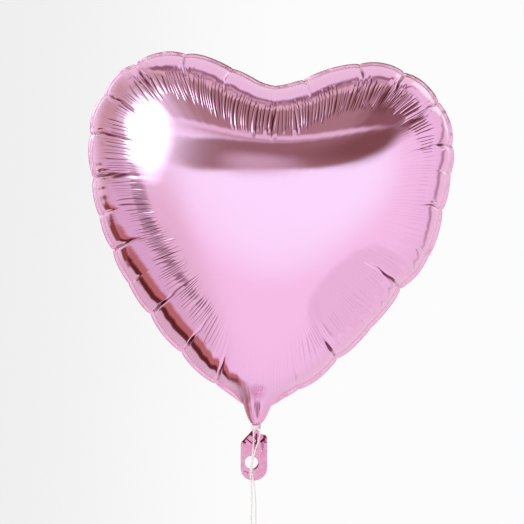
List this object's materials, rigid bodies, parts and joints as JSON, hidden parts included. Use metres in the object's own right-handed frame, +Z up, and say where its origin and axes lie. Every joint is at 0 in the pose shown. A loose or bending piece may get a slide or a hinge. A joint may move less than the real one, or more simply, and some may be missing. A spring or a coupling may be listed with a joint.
{
  "type": "heart-shaped foil balloon",
  "caption": "Inflated heart-shaped metallised film balloon with creased sealed rim, tied neck, folding filling tail with a round hole, and string.",
  "frame": {"origin": "the middle of the tied neck, where the string goes round the gathered film", "axes": "+Z up from the tie to the cleft, -Y out of the front panel's crown, +X to the right of a viewer who faces the front panel"},
  "size_m": [0.3636, 0.1846, 0.4814],
  "materials": {
    "foil": "metallised polyester film, mirror gloss",
    "tail_foil": "metallised polyester film, crumpled",
    "valve_film": "clear polyethylene film",
    "string": "twisted white twine"
  },
  "bodies": {
    "balloon": {"front_panel": "foil", "rear_panel": "foil", "valve_front_film": "valve_film", "valve_rear_film": "valve_film", "neck_tie": "string", "tie_knot": "string", "string_left_strand": "string", "string_right_strand": "string", "string_end_knot": "string"},
    "tail": {"tail_front_film": "tail_foil", "tail_rear_film": "tail_foil", "tail_valve_front_film": "valve_film", "tail_valve_rear_film": "valve_film"}
  },
  "joints": [
    {"name": "tail_fold", "type": "hinge", "parent": "balloon", "child": "tail", "pos_m": [0, 0, -0.0034], "axis": [1, 0, 0], "range_deg": [0, 90]}
  ]
}
